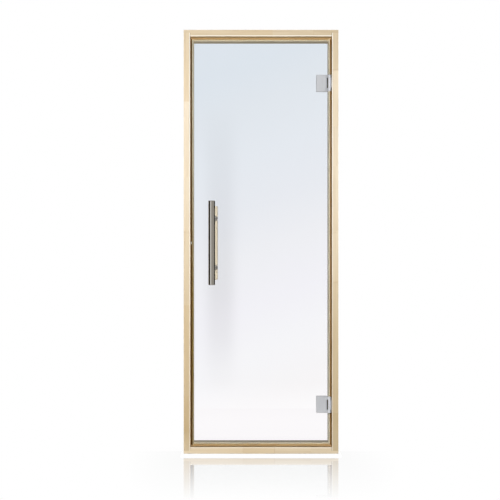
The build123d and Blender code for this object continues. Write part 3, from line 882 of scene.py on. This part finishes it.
def leaf_screw():
    """A screw's head, facing up, with its drive cut in."""
    bpy.ops.object.select_all(action="DESELECT")
    bpy.ops.mesh.primitive_cone_add(
        vertices=screw_sides,
        radius1=screw_radius - screw_head_depth * 0.9,
        radius2=screw_radius,
        depth=screw_head_depth,
        location=(0, 0, -screw_head_depth / 2),
    )
    screw = bpy.context.object
    bpy.ops.object.transform_apply(location=True, rotation=True, scale=True)
    bpy.ops.object.mode_set(mode="EDIT")
    bpy.ops.mesh.select_mode(type="FACE")
    choose_faces(screw, lambda middle, normal: normal.z > facing)
    bpy.ops.mesh.inset(thickness=screw_rim)
    bpy.ops.transform.translate(value=(0, 0, screw_dome))
    bpy.ops.mesh.inset(thickness=screw_radius - screw_rim - drive_radius)
    bpy.ops.mesh.select_mode(type="VERT")
    edit = bmesh.from_edit_mesh(screw.data)
    rim = [v for v in edit.verts if v.select]
    for corner in rim:
        turn = round(math.atan2(corner.co.y, corner.co.x) / (2 * math.pi / screw_sides)) % 4
        corner.select_set(turn == 2)
    edit.select_flush_mode()
    bpy.ops.transform.resize(value=(drive_waist, drive_waist, 1), center_override=(0, 0, 0))
    bpy.ops.mesh.select_mode(type="FACE")
    limit = drive_radius / 4
    choose_faces(screw, lambda middle, normal: normal.z > facing and middle.xy.length < limit)
    bpy.ops.mesh.extrude_region_move(TRANSFORM_OT_translate={"value": (0, 0, -drive_depth)})
    edit = bmesh.from_edit_mesh(screw.data)
    edit.verts.sort(key=lambda corner: corner.co.dot(sorting_way))
    edit.faces.sort(key=lambda face: face.calc_center_median().dot(sorting_way))
    bmesh.update_edit_mesh(screw.data)
    bpy.ops.object.mode_set(mode="OBJECT")
    bpy.ops.object.shade_smooth_by_angle(angle=math.radians(30))
    screw.data.materials.append(satin_steel)
    return screw


def drive_screw(pattern, name, x, y, z):
    """A copy of the screw with its own mesh, turned to face out of the rebate's wall."""
    screw = pattern.copy()
    screw.data = pattern.data.copy()
    screw.name = name
    screw.data.name = name
    screw.data.transform(Matrix.Translation((x, y, z)) @ Matrix.Rotation(math.radians(-90), 4, "Y"))
    bpy.context.scene.collection.objects.link(screw)
    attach(screw, "frame")


pattern_screw = leaf_screw()
for side in ("lower", "upper"):
    low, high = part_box(f"{side}_hinge_frame_leaf")
    wall_x = high.x - leaf_thickness
    count = 0
    for y in (low.y + screw_edge, high.y - screw_edge):
        for z in (low.z + screw_edge, high.z - screw_edge):
            count += 1
            drive_screw(pattern_screw, f"{side}_leaf_screw_{count}", wall_x, y, z)
bpy.data.objects.remove(pattern_screw)

# Outer handle
# A brushed stainless tube, capped at both ends. It stands on two leaning posts with a blasted finish,
# which are bolted through the glass on nylon washers.
brushed_light = (0.475, 0.445, 0.395, 1.0)
brushed_dark = (0.345, 0.315, 0.27, 1.0)
post_light = (0.66, 0.63, 0.58, 1.0)
post_dark = (0.52, 0.49, 0.45, 1.0)
tube_roughness = 0.04
post_roughness = 0.30
turning_marks = (60.0, 60.0, 5200.0)
brush_marks = (500.0, 500.0, 4.0)
brushed_relief = (0.1, 0.00002)


def brushed_material(name, light, dark, roughness):
    """Steel with fine rings round its length and faint streaks along it."""
    material, tree, shader = new_material(name)
    place = own_place(tree)
    rings = stretched_noise(tree, place, turning_marks, 2.0)
    streaks = stretched_noise(tree, place, brush_marks, 3.0)
    share = sums(tree, "MULTIPLY_ADD", rings, 0.5, sums(tree, "MULTIPLY", streaks, 0.5))
    colour = blend_colours(tree, share, light, dark)
    shader.inputs["Metallic"].default_value = 1.0
    rough = sums(tree, "MULTIPLY_ADD", rings, 0.04, roughness)
    finish_surface(tree, shader, colour, rough, rings, brushed_relief)
    return material


handle_steel = brushed_material("handle_steel", brushed_light, brushed_dark, tube_roughness)
post_steel = brushed_material("post_steel", post_light, post_dark, post_roughness)
for piece in ("handle_tube", "handle_bottom_cap", "handle_top_cap"):
    dress(piece, handle_steel)
for piece in ("lower_handle_post", "upper_handle_post", "lower_grip_spacer", "upper_grip_spacer"):
    dress(piece, post_steel)
for piece in ("lower_handle_bolt", "upper_handle_bolt"):
    dress(piece, satin_steel)
for piece in ("outer_handle_washers", "inner_handle_washers"):
    dress(piece, nylon)

# Inner grip
# A sanded aspen bar with round edges, on the hot side where steel would burn the hand. Wooden plugs
# cover the heads of its two bolts.
grip_grain = 0.5


def grip_material(name, board, tone, warmth):
    """Aspen from one board, sanded finer than the frame's."""
    material, tree, shader = new_material(name)
    boards = node(
        tree,
        "ShaderNodeGroup",
        {
            "Vector": own_place(tree),
            "Board": board,
            "Tone": tone,
            "Warmth": warmth,
            "Joint": 0.0,
            "Grain": grip_grain,
        },
        node_tree=aspen_grain,
    )
    finish_wood(tree, shader, boards, boards.outputs["Color"])
    return material


dress("wooden_grip", grip_material("grip_wood", 0.38, 0.42, 0.0))
dress("grip_plugs", grip_material("plug_wood", 0.66, 0.53, 0.5))

# Roller catch
# A small nylon roller on a steel axle, in a sleeve that is pressed into the latch upright. It bears on
# the edge of the glass and keeps the door shut.
dress("catch_sleeve", satin_steel)
dress("catch_axle", satin_steel)
dress("catch_roller", nylon)
